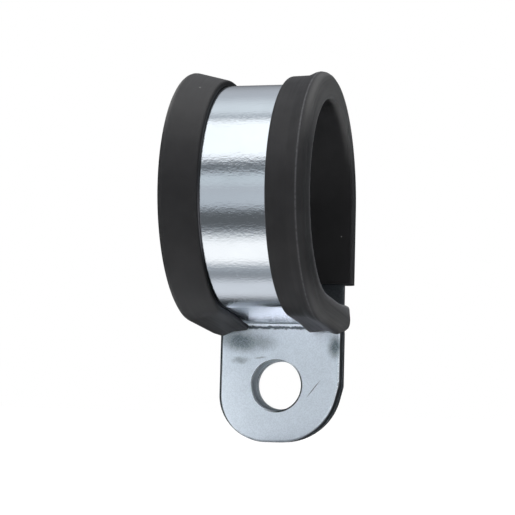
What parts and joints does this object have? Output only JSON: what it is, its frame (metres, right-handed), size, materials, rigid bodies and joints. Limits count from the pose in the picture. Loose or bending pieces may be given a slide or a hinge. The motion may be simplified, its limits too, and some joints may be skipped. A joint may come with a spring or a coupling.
{
  "type": "cushioned clamp",
  "caption": "Rubber-lined P-clip: a bent zinc-plated steel strap in a black rubber cushion that holds a cable or pipe and is fixed by a screw through its legs.",
  "frame": {"origin": "centre of the screw hole in the back leg, on the face that lies against the mounting surface", "axes": "+X along the cable, +Y into the mounting surface along the screw, +Z from the screw up to the cable loop"},
  "size_m": [0.0172, 0.0302, 0.0443],
  "materials": {
    "zinc_plated_steel": "bright zinc plating with a bluish passivated sheen, soft mirror",
    "black_rubber": "matt extruded rubber, very slightly grey on the surface"
  },
  "bodies": {
    "root": {"steel_strap": "zinc_plated_steel", "rubber_cushion": "black_rubber"}
  },
  "joints": []
}
